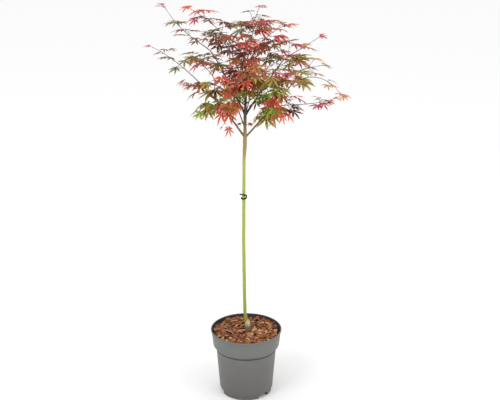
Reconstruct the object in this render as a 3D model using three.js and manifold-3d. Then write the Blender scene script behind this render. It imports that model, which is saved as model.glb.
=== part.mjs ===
// A Japanese maple grown as a small standard in a nursery pot: a slim stem with a graft near its top,
// boughs in two whorls above it, and an airy crown of five-lobed leaves.
// Millimetres, +Z up. The origin is the centre of the pot's flat underside; +Y points away from the front.
import * as THREE from "three";
import { mergeVertices } from "three/addons/utils/BufferGeometryUtils.js";
import Module from "manifold-3d";

const wasm = await Module();
wasm.setup();

// Clearance between neighbouring solids, the width of the slivers left by fusing that are smoothed out,
// and the least distance between two corners of a fused solid
const GAP = 0.3;
const SLIVER = 0.14;
const NEAREST = 0.02;

// Pot: a tapered body under a wider band, on a slightly smaller foot with notches round its lower edge
const POT_HEIGHT = 200;
const RIM_RADIUS = 105;
const RIM_HEIGHT = 5;
const RIM_STEP = 1.2;
const BAND_HEIGHT = 48;
const BAND_FOOT_RADIUS = 98.2;
const SHOULDER_HEIGHT = 15;
const SHOULDER_RADIUS = 89.2;
const BODY_FOOT_RADIUS = 79.2;
const FOOT_RADIUS = 75.4;
const FOOT_HEIGHT = 12;
const FOOT_TAPER = 3;
const EDGE = 1;
const POT_WALL = 2.4;
const POT_FLOOR = 3;
const POT_SEGMENTS = 30;
const DRAIN_HOLES = 6;
const DRAIN_SIDES = 6;
const DRAIN_RADIUS = 5;
const DRAIN_CIRCLE = 42;
const NOTCHES = 3;
const NOTCH_AZIMUTH = -47;
const NOTCH_WIDTH = 34;
const NOTCH_HEIGHT = 11;
const NOTCH_DEPTH = 14;
const NOTCH_REACH = 40;
const CUT_PAST = 5;

// Filling: potting soil up to the ground level at the stem, with a layer of bark mulch heaped round it and
// chips bedded in the top
const GROUND_LEVEL = 185;
const MULCH_LEVEL = 191;
const HOLLOW_RADIUS = 14;
const HOLLOW_RIM = 22;
const CHIP_COUNT = 10;
const CHIP_LENGTH = [17, 30];
const CHIP_WIDTH = [10, 15];
const CHIP_THICKNESS = [3, 5];
const CHIP_LIFT = [0.2, 2.2];
const CHIP_TILT = 0.45;
const CHIP_SHIFT = 4;
const CHIP_CLEARING = 22;
const CHIP_REACH = 94;
const CHIP_SEED = 4021;

// Trunk, from the ground level up: where its axis runs and how thick it is
const TRUNK_SIDES = 10;
const TRUNK_STEPS = 24;
const TRUNK_AXIS = [
  { height: 0, x: 5, y: 0 },
  { height: 10, x: 4.8, y: 0 },
  { height: 38, x: 0.6, y: 1 },
  { height: 62, x: -3.2, y: 1.4 },
  { height: 107, x: -4.6, y: 2 },
  { height: 295, x: -7, y: 1 },
  { height: 540, x: -5.5, y: 0 },
  { height: 575, x: -3, y: 0 },
  { height: 677, x: -2.2, y: 0 },
];
const TRUNK_RADII = [
  { height: 0, radius: 7.8 },
  { height: 14, radius: 7.4 },
  { height: 28, radius: 5.2 },
  { height: 56, radius: 4.8 },
  { height: 300, radius: 4.5 },
  { height: 548, radius: 4 },
  { height: 562, radius: 5.2 },
  { height: 596, radius: 5.3 },
  { height: 618, radius: 4.3 },
  { height: 648, radius: 3.9 },
  { height: 677, radius: 4.4 },
];

// Tie: a black strip bent round the stem, open on the left, with one end longer than the other
const TIE_HEIGHT = 428;
const TIE_RADIUS = 1.9;
const TIE_SPAN = 12;
const TIE_TAIL = 7;
const TIE_SIDES = 4;
const TIE_STEPS = 24;
const TIE_TURNS = [
  { angle: -128, lift: 0.54, stretch: 1.12 },
  { angle: -90, lift: 0.5, stretch: 1.05 },
  { angle: -45, lift: 0.45, stretch: 1.05 },
  { angle: 0, lift: 0.28, stretch: 1.12 },
  { angle: 14, lift: 0, stretch: 1.16 },
  { angle: 0, lift: -0.28, stretch: 1.12 },
  { angle: -45, lift: -0.42, stretch: 1.05 },
  { angle: -90, lift: -0.5, stretch: 1.05 },
  { angle: -140, lift: -0.5, stretch: 1.06 },
  { angle: -190, lift: -0.46, stretch: 1.06 },
  { angle: -235, lift: -0.36, stretch: 1.06 },
  { angle: -270, lift: -0.27, stretch: 1.06 },
];

// Limbs. Each starts on its host at a share of the host's length and runs to an end point (right of the
// middle, behind it, above the ground level), with its middle lifted by bow.
const LIMB_SIDES = 6;
const LIMB_STEPS = 3;
const LIMBS = {
  low_left_bough: { host: "trunk", at: 0.887, end: [-111, -12, 743], bow: 6, butt: 2.8, tip: 1.4 },
  low_right_bough: { host: "trunk", at: 0.887, end: [122, 14, 743], bow: -2, butt: 2.7, tip: 1.4 },
  fork_centre_bough: { host: "trunk", at: 1, end: [-2, 4, 862], bow: 0, butt: 2.7, tip: 1.4 },
  fork_left_bough: { host: "trunk", at: 0.985, end: [-88, 12, 830], bow: 4, butt: 2.8, tip: 1.5 },
  fork_right_bough: { host: "trunk", at: 0.98, end: [96, 18, 807], bow: 3, butt: 2.9, tip: 1.5 },
  fork_front_bough: { host: "trunk", at: 0.965, end: [2, -84, 772], bow: 3, butt: 2.4, tip: 1.4 },
  fork_back_bough: { host: "trunk", at: 0.955, end: [6, 96, 782], bow: 3, butt: 2.5, tip: 1.4 },
  low_back_branch: { host: "trunk", at: 0.925, end: [-32, 62, 690], bow: 2, butt: 1.8, tip: 1.2 },
  left_up_branch: { host: "low_left_bough", at: 0.78, end: [-84, -26, 764], bow: 0, butt: 1.4, tip: 1.1 },
  left_side_branch: {
    host: "low_left_bough", at: 0.62, end: [-93, -30, 722], bow: 2, butt: 1.4, tip: 1.1,
  },
  left_low_branch: { host: "low_left_bough", at: 0.3, end: [-42, -38, 680], bow: 2, butt: 1.5, tip: 1.1 },
  right_side_branch: {
    host: "low_right_bough", at: 0.5, end: [96, -16, 695], bow: 3, butt: 1.5, tip: 1.2,
  },
  right_low_branch: {
    host: "low_right_bough", at: 0.3, end: [46, -45, 688], bow: 2, butt: 1.5, tip: 1.1,
  },
  right_mid_branch: {
    host: "fork_right_bough", at: 0.45, end: [100, -34, 774], bow: 2, butt: 1.6, tip: 1.2,
  },
  front_left_branch: {
    host: "fork_front_bough", at: 0.35, end: [-52, -84, 752], bow: 2, butt: 1.6, tip: 1.2,
  },
  front_right_branch: {
    host: "fork_front_bough", at: 0.4, end: [56, -92, 762], bow: 2, butt: 1.6, tip: 1.2,
  },
  back_left_branch: {
    host: "fork_back_bough", at: 0.35, end: [-66, 88, 766], bow: 2, butt: 1.7, tip: 1.2,
  },
  back_right_branch: {
    host: "fork_back_bough", at: 0.45, end: [72, 96, 762], bow: 2, butt: 1.7, tip: 1.2,
  },
  core_front_branch: {
    host: "fork_centre_bough", at: 0.2, end: [-10, -38, 776], bow: 2, butt: 1.6, tip: 1.2,
  },
  core_left_branch: {
    host: "fork_left_bough", at: 0.5, end: [-44, 48, 830], bow: 2, butt: 1.5, tip: 1.2,
  },
  core_right_branch: {
    host: "fork_right_bough", at: 0.5, end: [56, 30, 812], bow: 2, butt: 1.5, tip: 1.2,
  },
  top_left_branch: {
    host: "fork_centre_bough", at: 0.4, end: [-53, -14, 876], bow: -2, butt: 1.7, tip: 1.2,
  },
  top_right_branch: {
    host: "fork_centre_bough", at: 0.5, end: [49, -14, 872], bow: -2, butt: 1.6, tip: 1.2,
  },
  top_front_branch: {
    host: "fork_centre_bough", at: 0.35, end: [-12, -66, 838], bow: 0, butt: 1.6, tip: 1.2,
  },
  top_back_branch: {
    host: "fork_centre_bough", at: 0.55, end: [14, 60, 862], bow: 0, butt: 1.6, tip: 1.2,
  },
  low_left_branch: {
    host: "low_left_bough", at: 0.42, end: [-72, -26, 694], bow: 2, butt: 1.4, tip: 1.1,
  },
  low_front_branch: { host: "trunk", at: 0.975, end: [13, -36, 728], bow: 2, butt: 1.7, tip: 1.2 },
};

// Masses of foliage. Each has a stem that goes on from its limb's tip to an end point, with pairs of side
// twigs at its nodes but for those between the two bare shares, and keeps what grows within its reach.
const USUAL = { bow: 5, reach: 68, bare: [0, 0], nodes: 3, twig: 44, leaf: 38, droop: 12 };
const MASSES = {
  far_left_spray: {
    limb: "low_left_bough", end: [-246, -34, 858],
    bow: 9, reach: 58, bare: [0, 0.5], nodes: 5, twig: 26, leaf: 27, droop: 3,
  },
  right_arch_spray: {
    limb: "low_right_bough", end: [258, 34, 724],
    bow: 30, reach: 60, bare: [0.25, 0.66], nodes: 4, twig: 30, leaf: 31, droop: 8,
  },
  upper_left_spray: {
    limb: "fork_left_bough", end: [-214, 26, 950],
    bow: -16, reach: 58, bare: [0, 0.3], nodes: 4, twig: 28, leaf: 31, droop: 3,
  },
  top_centre_spray: { limb: "fork_centre_bough", end: [31, 2, 946], bow: 0, twig: 46, droop: 4 },
  right_upper_spray: { limb: "fork_right_bough", end: [186, 34, 866], bow: 0, nodes: 2, droop: 6 },
  front_spray: { limb: "fork_front_bough", end: [6, -176, 812], reach: 74, twig: 48, leaf: 40, droop: 16 },
  back_spray: { limb: "fork_back_bough", end: [0, 206, 820], reach: 74, nodes: 2, twig: 48, leaf: 41 },
  low_back_spray: { limb: "low_back_branch", end: [-44, 150, 704], nodes: 2, twig: 42, droop: 42 },
  left_middle_spray: { limb: "left_up_branch", end: [-128, -54, 826], nodes: 2, twig: 42 },
  left_side_spray: {
    limb: "left_side_branch", end: [-144, -60, 764], reach: 58, nodes: 2, twig: 34, leaf: 35, droop: 20,
  },
  left_hanging_spray: {
    limb: "left_low_branch", end: [-52, -86, 708], reach: 52, nodes: 2, twig: 30, leaf: 33, droop: 48,
  },
  low_right_spray: {
    limb: "right_side_branch", end: [232, -30, 716],
    bow: -5, reach: 60, bare: [0.3, 0.72], nodes: 4, twig: 28, leaf: 28, droop: 18,
  },
  right_hanging_spray: { limb: "right_low_branch", end: [84, -98, 696], nodes: 2, twig: 37, droop: 44 },
  right_middle_spray: { limb: "right_mid_branch", end: [194, -50, 812], twig: 43, leaf: 37 },
  front_left_spray: {
    limb: "front_left_branch", end: [-108, -152, 788], nodes: 2, twig: 44, leaf: 38, droop: 18,
  },
  front_right_spray: { limb: "front_right_branch", end: [112, -160, 796], leaf: 39, droop: 16 },
  back_left_spray: { limb: "back_left_branch", end: [-134, 152, 806], nodes: 2, twig: 48, leaf: 41 },
  back_right_spray: { limb: "back_right_branch", end: [140, 152, 798], nodes: 2, twig: 48, leaf: 41 },
  core_front_spray: { limb: "core_front_branch", end: [-6, -96, 846], nodes: 2, twig: 42 },
  core_left_spray: { limb: "core_left_branch", end: [-96, 92, 872], nodes: 2 },
  core_right_spray: { limb: "core_right_branch", end: [84, 84, 860], nodes: 2 },
  top_left_spray: {
    limb: "top_left_branch", end: [-136, -26, 954], reach: 62, twig: 38, leaf: 35, droop: 4,
  },
  top_right_spray: { limb: "top_right_branch", end: [104, -30, 916], nodes: 2, twig: 42, droop: 6 },
  top_front_spray: { limb: "top_front_branch", end: [-24, -122, 896], nodes: 2, droop: 6 },
  top_back_spray: { limb: "top_back_branch", end: [34, 120, 912], nodes: 2, droop: 8 },
  low_left_spray: {
    limb: "low_left_branch", end: [-112, -56, 694], reach: 54, nodes: 2, twig: 35, leaf: 33, droop: 38,
  },
  low_front_spray: {
    limb: "low_front_branch", end: [34, -94, 788], reach: 56, nodes: 2, twig: 38, leaf: 36, droop: 16,
  },
};

// The rule by which a mass grows: twigs at its nodes, each with a leaf at its end and a pair behind it
const SEED_START = 11;
const SEED_STEP = 12;
const STEM_SIDES = 5;
const STEM_RADIUS = 1.15;
const STEM_LEAD = 0.2;
const STEM_BEND = 0.6;
const TWIG_RADIUS = 0.7;
const TWIG_TAPER = 0.45;
const TWIG_VARIETY = [0.9, 1.3];
const TWIG_NODE = 0.5;
const TWIG_NODE_SHIFT = 0.04;
const SPLAY = 56;
const CROSSED = 50;
const UNEVEN = 10;
const TILT = [-0.1, 0.2];
const STALK_RADIUS = 0.3;
const STALK_LENGTH = [14, 24];
const STALK_SPREAD = 64;
const SPACE_SAMPLES = 8;

// How a leaf is turned about the vertical, drawn in and drooped further until it finds room
const TRIES = [
  { turn: 0, reach: 1, droop: 0 },
  { turn: 24, reach: 1.1, droop: 8 },
  { turn: -24, reach: 1.1, droop: -6 },
  { turn: 42, reach: 0.8, droop: 16 },
  { turn: -42, reach: 0.8, droop: 12 },
  { turn: 0, reach: 0.6, droop: 24 },
];

// Leaf: lobes by their angle from the middle one and their share of its length, and the notches between
const LOBES = [
  { angle: -92, share: 0.62 },
  { angle: -45, share: 0.93 },
  { angle: 0, share: 1 },
  { angle: 45, share: 0.93 },
  { angle: 92, share: 0.62 },
];
const NOTCH_SHARE = 0.27;
const NOTCH_SAG = 0.1;
const BACK_ANGLE = 140;
const BACK_SHARE = 0.05;
const BLADE_BACK = 2;
const HEART_SHARE = 0.4;
const LEAF_THICKNESS = 1.8;
const LEAF_VARIETY = [0.82, 1.15];
const LEAF_TAPER = 0.35;
const LEAF_ROLL = 20;
const LEAF_PITCH = 14;
const LOBE_SAG = 0.13;

const COLOURS = {
  pot: [0x55, 0x56, 0x54],
  bark_mulch: [0x9a, 0x5a, 0x38],
  stem: [0xa6, 0xb0, 0x52],
  bough: [0x5a, 0x44, 0x30],
  tie: [0x16, 0x16, 0x16],
  foliage: [0x96, 0x48, 0x30],
};
const ROUGHNESS = { pot: 0.6, bark_mulch: 0.95, stem: 0.6, bough: 0.7, tie: 0.5, foliage: 0.6 };

const UP = new THREE.Vector3(0, 0, 1);
const radians = THREE.MathUtils.degToRad;

// Park and Miller's generator, so that a seed grows the same twigs anywhere.
function seeded(seed) {
  let state = seed * 7919 + 17;
  return (low = 0, high = 1) => {
    state = (state * 48271) % 2147483647;
    return low + ((high - low) * state) / 2147483647;
  };
}

// The value at a height, by straight lines between the listed heights.
function between(list, height, key) {
  const next = list.findIndex((entry) => entry.height >= height);
  if (next <= 0) return list[next === 0 ? 0 : list.length - 1][key];
  const [low, high] = [list[next - 1], list[next]];
  const share = (height - low.height) / (high.height - low.height);
  return low[key] + share * (high[key] - low[key]);
}

// A closed geometry as a manifold-3d solid.
function solidOf(geometry) {
  geometry.deleteAttribute("normal");
  geometry.deleteAttribute("uv");
  const merged = mergeVertices(geometry, 1e-4);
  return new wasm.Manifold(
    new wasm.Mesh({
      numProp: 3,
      vertProperties: merged.attributes.position.array,
      triVerts: new Uint32Array(merged.index.array),
    }),
  );
}

// The named mesh of a solid in one of the colours. Loose scraps that fusing left are not kept.
function meshOf(name, solid, colour) {
  const smooth = solid.asOriginal().simplify(SLIVER);
  const [body] = smooth.decompose().sort((a, b) => b.volume() - a.volume());
  const { vertProperties, triVerts, numProp, numVert } = body.getMesh();
  const positions = new Float32Array(numVert * 3);
  for (let i = 0; i < numVert; i++) {
    positions.set(vertProperties.subarray(i * numProp, i * numProp + 3), i * 3);
  }
  const geometry = new THREE.BufferGeometry();
  geometry.setAttribute("position", new THREE.BufferAttribute(positions, 3));
  geometry.setIndex(new THREE.BufferAttribute(new Uint32Array(triVerts), 1));
  geometry.computeVertexNormals();
  const material = new THREE.MeshStandardMaterial({
    color: new THREE.Color(...COLOURS[colour].map((level) => level / 255)),
    roughness: ROUGHNESS[colour],
    metalness: 0,
  });
  const mesh = new THREE.Mesh(geometry, material);
  mesh.name = name;
  return mesh;
}

// A round limb along a curve: a cylinder whose rings are set across the curve and scaled to the radius
// there. It is grown on all sides, ends too, by extra.
function limbSolid(curve, radiusAt, sides, steps, extra = 0) {
  const geometry = new THREE.CylinderGeometry(1, 1, 1, sides, steps);
  const { tangents, normals, binormals } = curve.computeFrenetFrames(steps);
  const position = geometry.attributes.position;
  for (let i = 0; i < position.count; i++) {
    const ring = Math.round((position.getY(i) + 0.5) * steps);
    const radius = radiusAt(ring / steps) + extra;
    const end = (ring === steps) - (ring === 0);
    const point = curve
      .getPoint(ring / steps)
      .addScaledVector(tangents[ring], end * extra)
      .addScaledVector(normals[ring], position.getX(i) * radius)
      .addScaledVector(binormals[ring], -position.getZ(i) * radius);
    position.setXYZ(i, point.x, point.y, point.z);
  }
  return solidOf(geometry);
}

// A box with its middle at a point, tilted and then turned about Z.
function boxSolid(size, centre, turn = 0, tilt = 0) {
  const geometry = new THREE.BoxGeometry(...size);
  geometry.rotateX(tilt);
  geometry.rotateZ(turn);
  geometry.translate(...centre);
  return solidOf(geometry);
}

// A turned solid from its profile of [radius, height] pairs, which starts and ends on the axis.
function turnedSolid(profile) {
  const points = profile.map(([radius, height]) => new THREE.Vector2(radius, height));
  return solidOf(new THREE.LatheGeometry(points, POT_SEGMENTS).rotateX(Math.PI / 2));
}

const bandBottom = POT_HEIGHT - BAND_HEIGHT;
const shoulderBottom = bandBottom - SHOULDER_HEIGHT;
const neckRadius = RIM_RADIUS - RIM_STEP;

// The inner wall of the pot from its floor up to a height in the band, moved in by an inset.
function innerWall(top, inset) {
  const share = (top - bandBottom) / (POT_HEIGHT - bandBottom);
  const topRadius = BAND_FOOT_RADIUS + share * (neckRadius - BAND_FOOT_RADIUS);
  return [
    [FOOT_RADIUS, POT_FLOOR + inset],
    [FOOT_RADIUS, FOOT_HEIGHT],
    [BODY_FOOT_RADIUS, FOOT_HEIGHT + FOOT_TAPER],
    [SHOULDER_RADIUS, shoulderBottom],
    [BAND_FOOT_RADIUS, bandBottom],
    [topRadius, top],
  ].map(([radius, height]) => [radius - POT_WALL - inset, height]);
}

// A block across the foot of the pot at each notch, grown by a margin and drawn down below the base.
function notchBlocks(margin, below) {
  const size = [NOTCH_REACH, NOTCH_WIDTH + 2 * margin, NOTCH_HEIGHT + margin + below];
  const radius = FOOT_RADIUS - NOTCH_DEPTH - margin + NOTCH_REACH / 2;
  return Array.from({ length: NOTCHES }, (_, i) => {
    const turn = radians(NOTCH_AZIMUTH + (360 * i) / NOTCHES);
    return boxSolid(size, [Math.cos(turn) * radius, Math.sin(turn) * radius, size[2] / 2 - below], turn);
  });
}

function potOutline() {
  return turnedSolid([
    [0, 0],
    [FOOT_RADIUS - EDGE, 0],
    [FOOT_RADIUS, EDGE],
    [FOOT_RADIUS, FOOT_HEIGHT - EDGE],
    [BODY_FOOT_RADIUS, FOOT_HEIGHT + FOOT_TAPER],
    [SHOULDER_RADIUS, shoulderBottom],
    [BAND_FOOT_RADIUS, bandBottom],
    [neckRadius, POT_HEIGHT - RIM_HEIGHT],
    [RIM_RADIUS, POT_HEIGHT - RIM_HEIGHT + EDGE],
    [RIM_RADIUS, POT_HEIGHT - EDGE],
    [RIM_RADIUS - EDGE, POT_HEIGHT],
    [0, POT_HEIGHT],
  ]);
}

function pot() {
  const mouth = POT_HEIGHT + CUT_PAST;
  const hollow = turnedSolid([[0, POT_FLOOR], ...innerWall(mouth, 0), [0, mouth]]);
  const pockets = wasm.Manifold.union(notchBlocks(POT_WALL, 0)).intersect(potOutline());
  const drains = Array.from({ length: DRAIN_HOLES }, (_, i) => {
    const turn = (2 * Math.PI * (i + 0.5)) / DRAIN_HOLES;
    const drill = new THREE.CylinderGeometry(DRAIN_RADIUS, DRAIN_RADIUS, 4 * POT_FLOOR, DRAIN_SIDES);
    drill.rotateX(Math.PI / 2);
    return solidOf(drill.translate(DRAIN_CIRCLE * Math.cos(turn), DRAIN_CIRCLE * Math.sin(turn), 0));
  });
  const cuts = wasm.Manifold.union([...notchBlocks(0, CUT_PAST), ...drains]);
  return potOutline().subtract(hollow).add(pockets).subtract(cuts);
}

// What fills the pot: soil and mulch, hollowed at the stem, with bark chips bedded in a widening spiral.
function filling() {
  const soil = turnedSolid([
    [0, POT_FLOOR + GAP],
    ...innerWall(MULCH_LEVEL, GAP),
    [HOLLOW_RIM, MULCH_LEVEL],
    [HOLLOW_RADIUS, GROUND_LEVEL],
    [0, GROUND_LEVEL],
  ]);
  const random = seeded(CHIP_SEED);
  const chips = Array.from({ length: CHIP_COUNT }, (_, i) => {
    const spread = Math.sqrt((i + 0.5) / CHIP_COUNT) * (CHIP_REACH - CHIP_CLEARING);
    const turn = i * Math.PI * (3 - Math.sqrt(5));
    const size = [random(...CHIP_LENGTH), random(...CHIP_WIDTH), random(...CHIP_THICKNESS)];
    const half = Math.hypot(size[0], size[1]) / 2;
    const wanted = CHIP_CLEARING + spread - random(0, CHIP_SHIFT);
    const away = Math.max(CHIP_CLEARING + half, Math.min(CHIP_REACH - half, wanted));
    const centre = [away * Math.cos(turn), away * Math.sin(turn), MULCH_LEVEL + random(...CHIP_LIFT)];
    return boxSolid(size, centre, random(0, Math.PI), random(-CHIP_TILT, CHIP_TILT));
  });
  return wasm.Manifold.union([soil, ...chips]).subtract(
    wasm.Manifold.union(notchBlocks(POT_WALL + GAP, 0)),
  );
}

const trunkHeight = TRUNK_AXIS.at(-1).height;
const trunkRadius = (share) => between(TRUNK_RADII, share * trunkHeight, "radius");
const trunkCurve = new THREE.Curve();
trunkCurve.getPoint = (share) => {
  const height = share * trunkHeight;
  return new THREE.Vector3(between(TRUNK_AXIS, height, "x"), between(TRUNK_AXIS, height, "y"), height);
};

function tie() {
  const share = TIE_HEIGHT / trunkHeight;
  const middle = trunkCurve.getPoint(share);
  const away = trunkRadius(share) + GAP + TIE_RADIUS;
  const turns = TIE_TURNS.map(({ angle, lift, stretch }) => {
    const level = away * stretch;
    const offset = [level * Math.cos(radians(angle)), level * Math.sin(radians(angle)), lift * TIE_SPAN];
    return middle.clone().add(new THREE.Vector3(...offset));
  });
  const tail = turns[0].clone().add(new THREE.Vector3(-TIE_TAIL, TIE_TAIL / 2, EDGE));
  const even = new THREE.CatmullRomCurve3([tail, ...turns], false, "centripetal").getSpacedPoints(TIE_STEPS);
  return limbSolid(new THREE.CatmullRomCurve3(even), () => TIE_RADIUS, TIE_SIDES, TIE_STEPS);
}

// All limbs, trunk first: their axes, radii and solids, each cut clear of those before it, and one solid
// of them all grown by the gap.
function growLimbs() {
  const limbs = {
    trunk: { curve: trunkCurve, radiusAt: trunkRadius, sides: TRUNK_SIDES, steps: TRUNK_STEPS },
  };
  for (const [name, { host, at, end, bow, butt, tip }] of Object.entries(LIMBS)) {
    const start = limbs[host].curve.getPoint(at);
    const last = new THREE.Vector3(...end);
    const middle = start.clone().lerp(last, 0.5).addScaledVector(UP, 2 * bow);
    limbs[name] = {
      curve: new THREE.QuadraticBezierCurve3(start, middle, last),
      radiusAt: (share) => butt + share * (tip - butt),
      sides: LIMB_SIDES,
      steps: LIMB_STEPS,
    };
  }
  const grown = [];
  for (const limb of Object.values(limbs)) {
    const make = (extra) => limbSolid(limb.curve, limb.radiusAt, limb.sides, limb.steps, extra);
    limb.solid = grown.length ? make(0).subtract(wasm.Manifold.union(grown)) : make(0);
    grown.push(make(GAP));
  }
  return { limbs, limbsGrown: wasm.Manifold.union(grown) };
}

// The stem of a mass: it leaves its limb's tip straight on and bends to its own end.
function stemCurve({ end, bow }, limb) {
  const onward = limb.curve.getTangent(1);
  const start = limb.curve.getPoint(1).addScaledVector(onward, GAP);
  const last = new THREE.Vector3(...end);
  const lead = start.clone().addScaledVector(onward, STEM_LEAD * start.distanceTo(last));
  const bend = start.clone().lerp(last, STEM_BEND).addScaledVector(UP, 2 * bow);
  return new THREE.CubicBezierCurve3(start, lead, bend, last);
}

// The rim of a leaf round its base, with the middle lobe along +X, from one side of the stalk to the other.
function leafRim(length) {
  const rim = [{ angle: -BACK_ANGLE, share: BACK_SHARE, sag: 0 }];
  LOBES.forEach(({ angle, share }, i) => {
    if (i) rim.push({ angle: (LOBES[i - 1].angle + angle) / 2, share: NOTCH_SHARE, sag: NOTCH_SAG });
    rim.push({ angle, share, sag: 1 });
  });
  rim.push({ angle: BACK_ANGLE, share: BACK_SHARE, sag: 0 });
  return rim.map(({ angle, share, sag }) => {
    const away = share * length;
    const drop = sag * LOBE_SAG * away;
    return new THREE.Vector3(away * Math.cos(radians(angle)), away * Math.sin(radians(angle)), -drop);
  });
}

// A leaf and its stalk as one closed surface: two fans over the rim, and a three-sided stalk from its back
// to a foot.
function leafSolid({ rim, over, under }, foot, radius) {
  const way = over.clone().sub(foot).normalize();
  const side = new THREE.Vector3().crossVectors(UP, way).normalize();
  const lift = new THREE.Vector3().crossVectors(way, side);
  const root = [
    foot.clone().addScaledVector(lift, radius),
    foot.clone().addScaledVector(lift, -radius / 2).addScaledVector(side, -radius),
    foot.clone().addScaledVector(lift, -radius / 2).addScaledVector(side, radius),
  ];
  const points = [over, under, ...root, ...rim];
  const [top, bottom, rootTop, rootRight, rootLeft, first] = points.keys();
  const last = points.length - 1;
  const faces = [
    [bottom, first, last],
    [rootTop, rootLeft, rootRight],
    [first, top, rootTop],
    [first, rootTop, rootRight],
    [top, last, rootLeft],
    [top, rootLeft, rootTop],
    [last, first, rootRight],
    [last, rootRight, rootLeft],
  ];
  for (let i = first; i < last; i++) faces.push([top, i, i + 1], [bottom, i + 1, i]);
  return new wasm.Manifold(
    new wasm.Mesh({
      numProp: 3,
      vertProperties: new Float32Array(points.flatMap((point) => point.toArray())),
      triVerts: new Uint32Array(faces.flat()),
    }),
  );
}

// The rim and the two faces' middles of a leaf that points one way and droops, a little rolled.
function placeLeaf(base, way, length, droop, roll) {
  const level = new THREE.Vector3(way.x, way.y, 0).normalize();
  const forward = level.multiplyScalar(Math.cos(radians(droop)));
  forward.addScaledVector(UP, -Math.sin(radians(droop)));
  const side = new THREE.Vector3().crossVectors(UP, forward).normalize();
  side.applyAxisAngle(forward, radians(roll));
  const face = new THREE.Vector3().crossVectors(forward, side);
  const pose = new THREE.Matrix4().makeBasis(forward, side, face).setPosition(base);
  return {
    rim: leafRim(length).map((point) => point.applyMatrix4(pose)),
    heart: new THREE.Vector3(HEART_SHARE * length, 0, 0).applyMatrix4(pose),
    over: new THREE.Vector3(0, 0, LEAF_THICKNESS / 2).applyMatrix4(pose),
    under: new THREE.Vector3(0, 0, -LEAF_THICKNESS / 2).applyMatrix4(pose),
  };
}

const touch = (one, other) => one.minGap(other, GAP) <= 0;

// Whether no two corners of a solid lie so near each other that they could merge.
function isClean(solid) {
  const { vertProperties, numProp, numVert } = solid.getMesh();
  const corners = Array.from({ length: numVert }, (_, i) =>
    vertProperties.slice(i * numProp, i * numProp + 3),
  ).sort((a, b) => a[0] - b[0]);
  return corners.every(([x, y, z], i) => {
    for (let j = i + 1; j < numVert && corners[j][0] - x < NEAREST; j++) {
      if (Math.hypot(corners[j][0] - x, corners[j][1] - y, corners[j][2] - z) < NEAREST) return false;
    }
    return true;
  });
}

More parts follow.
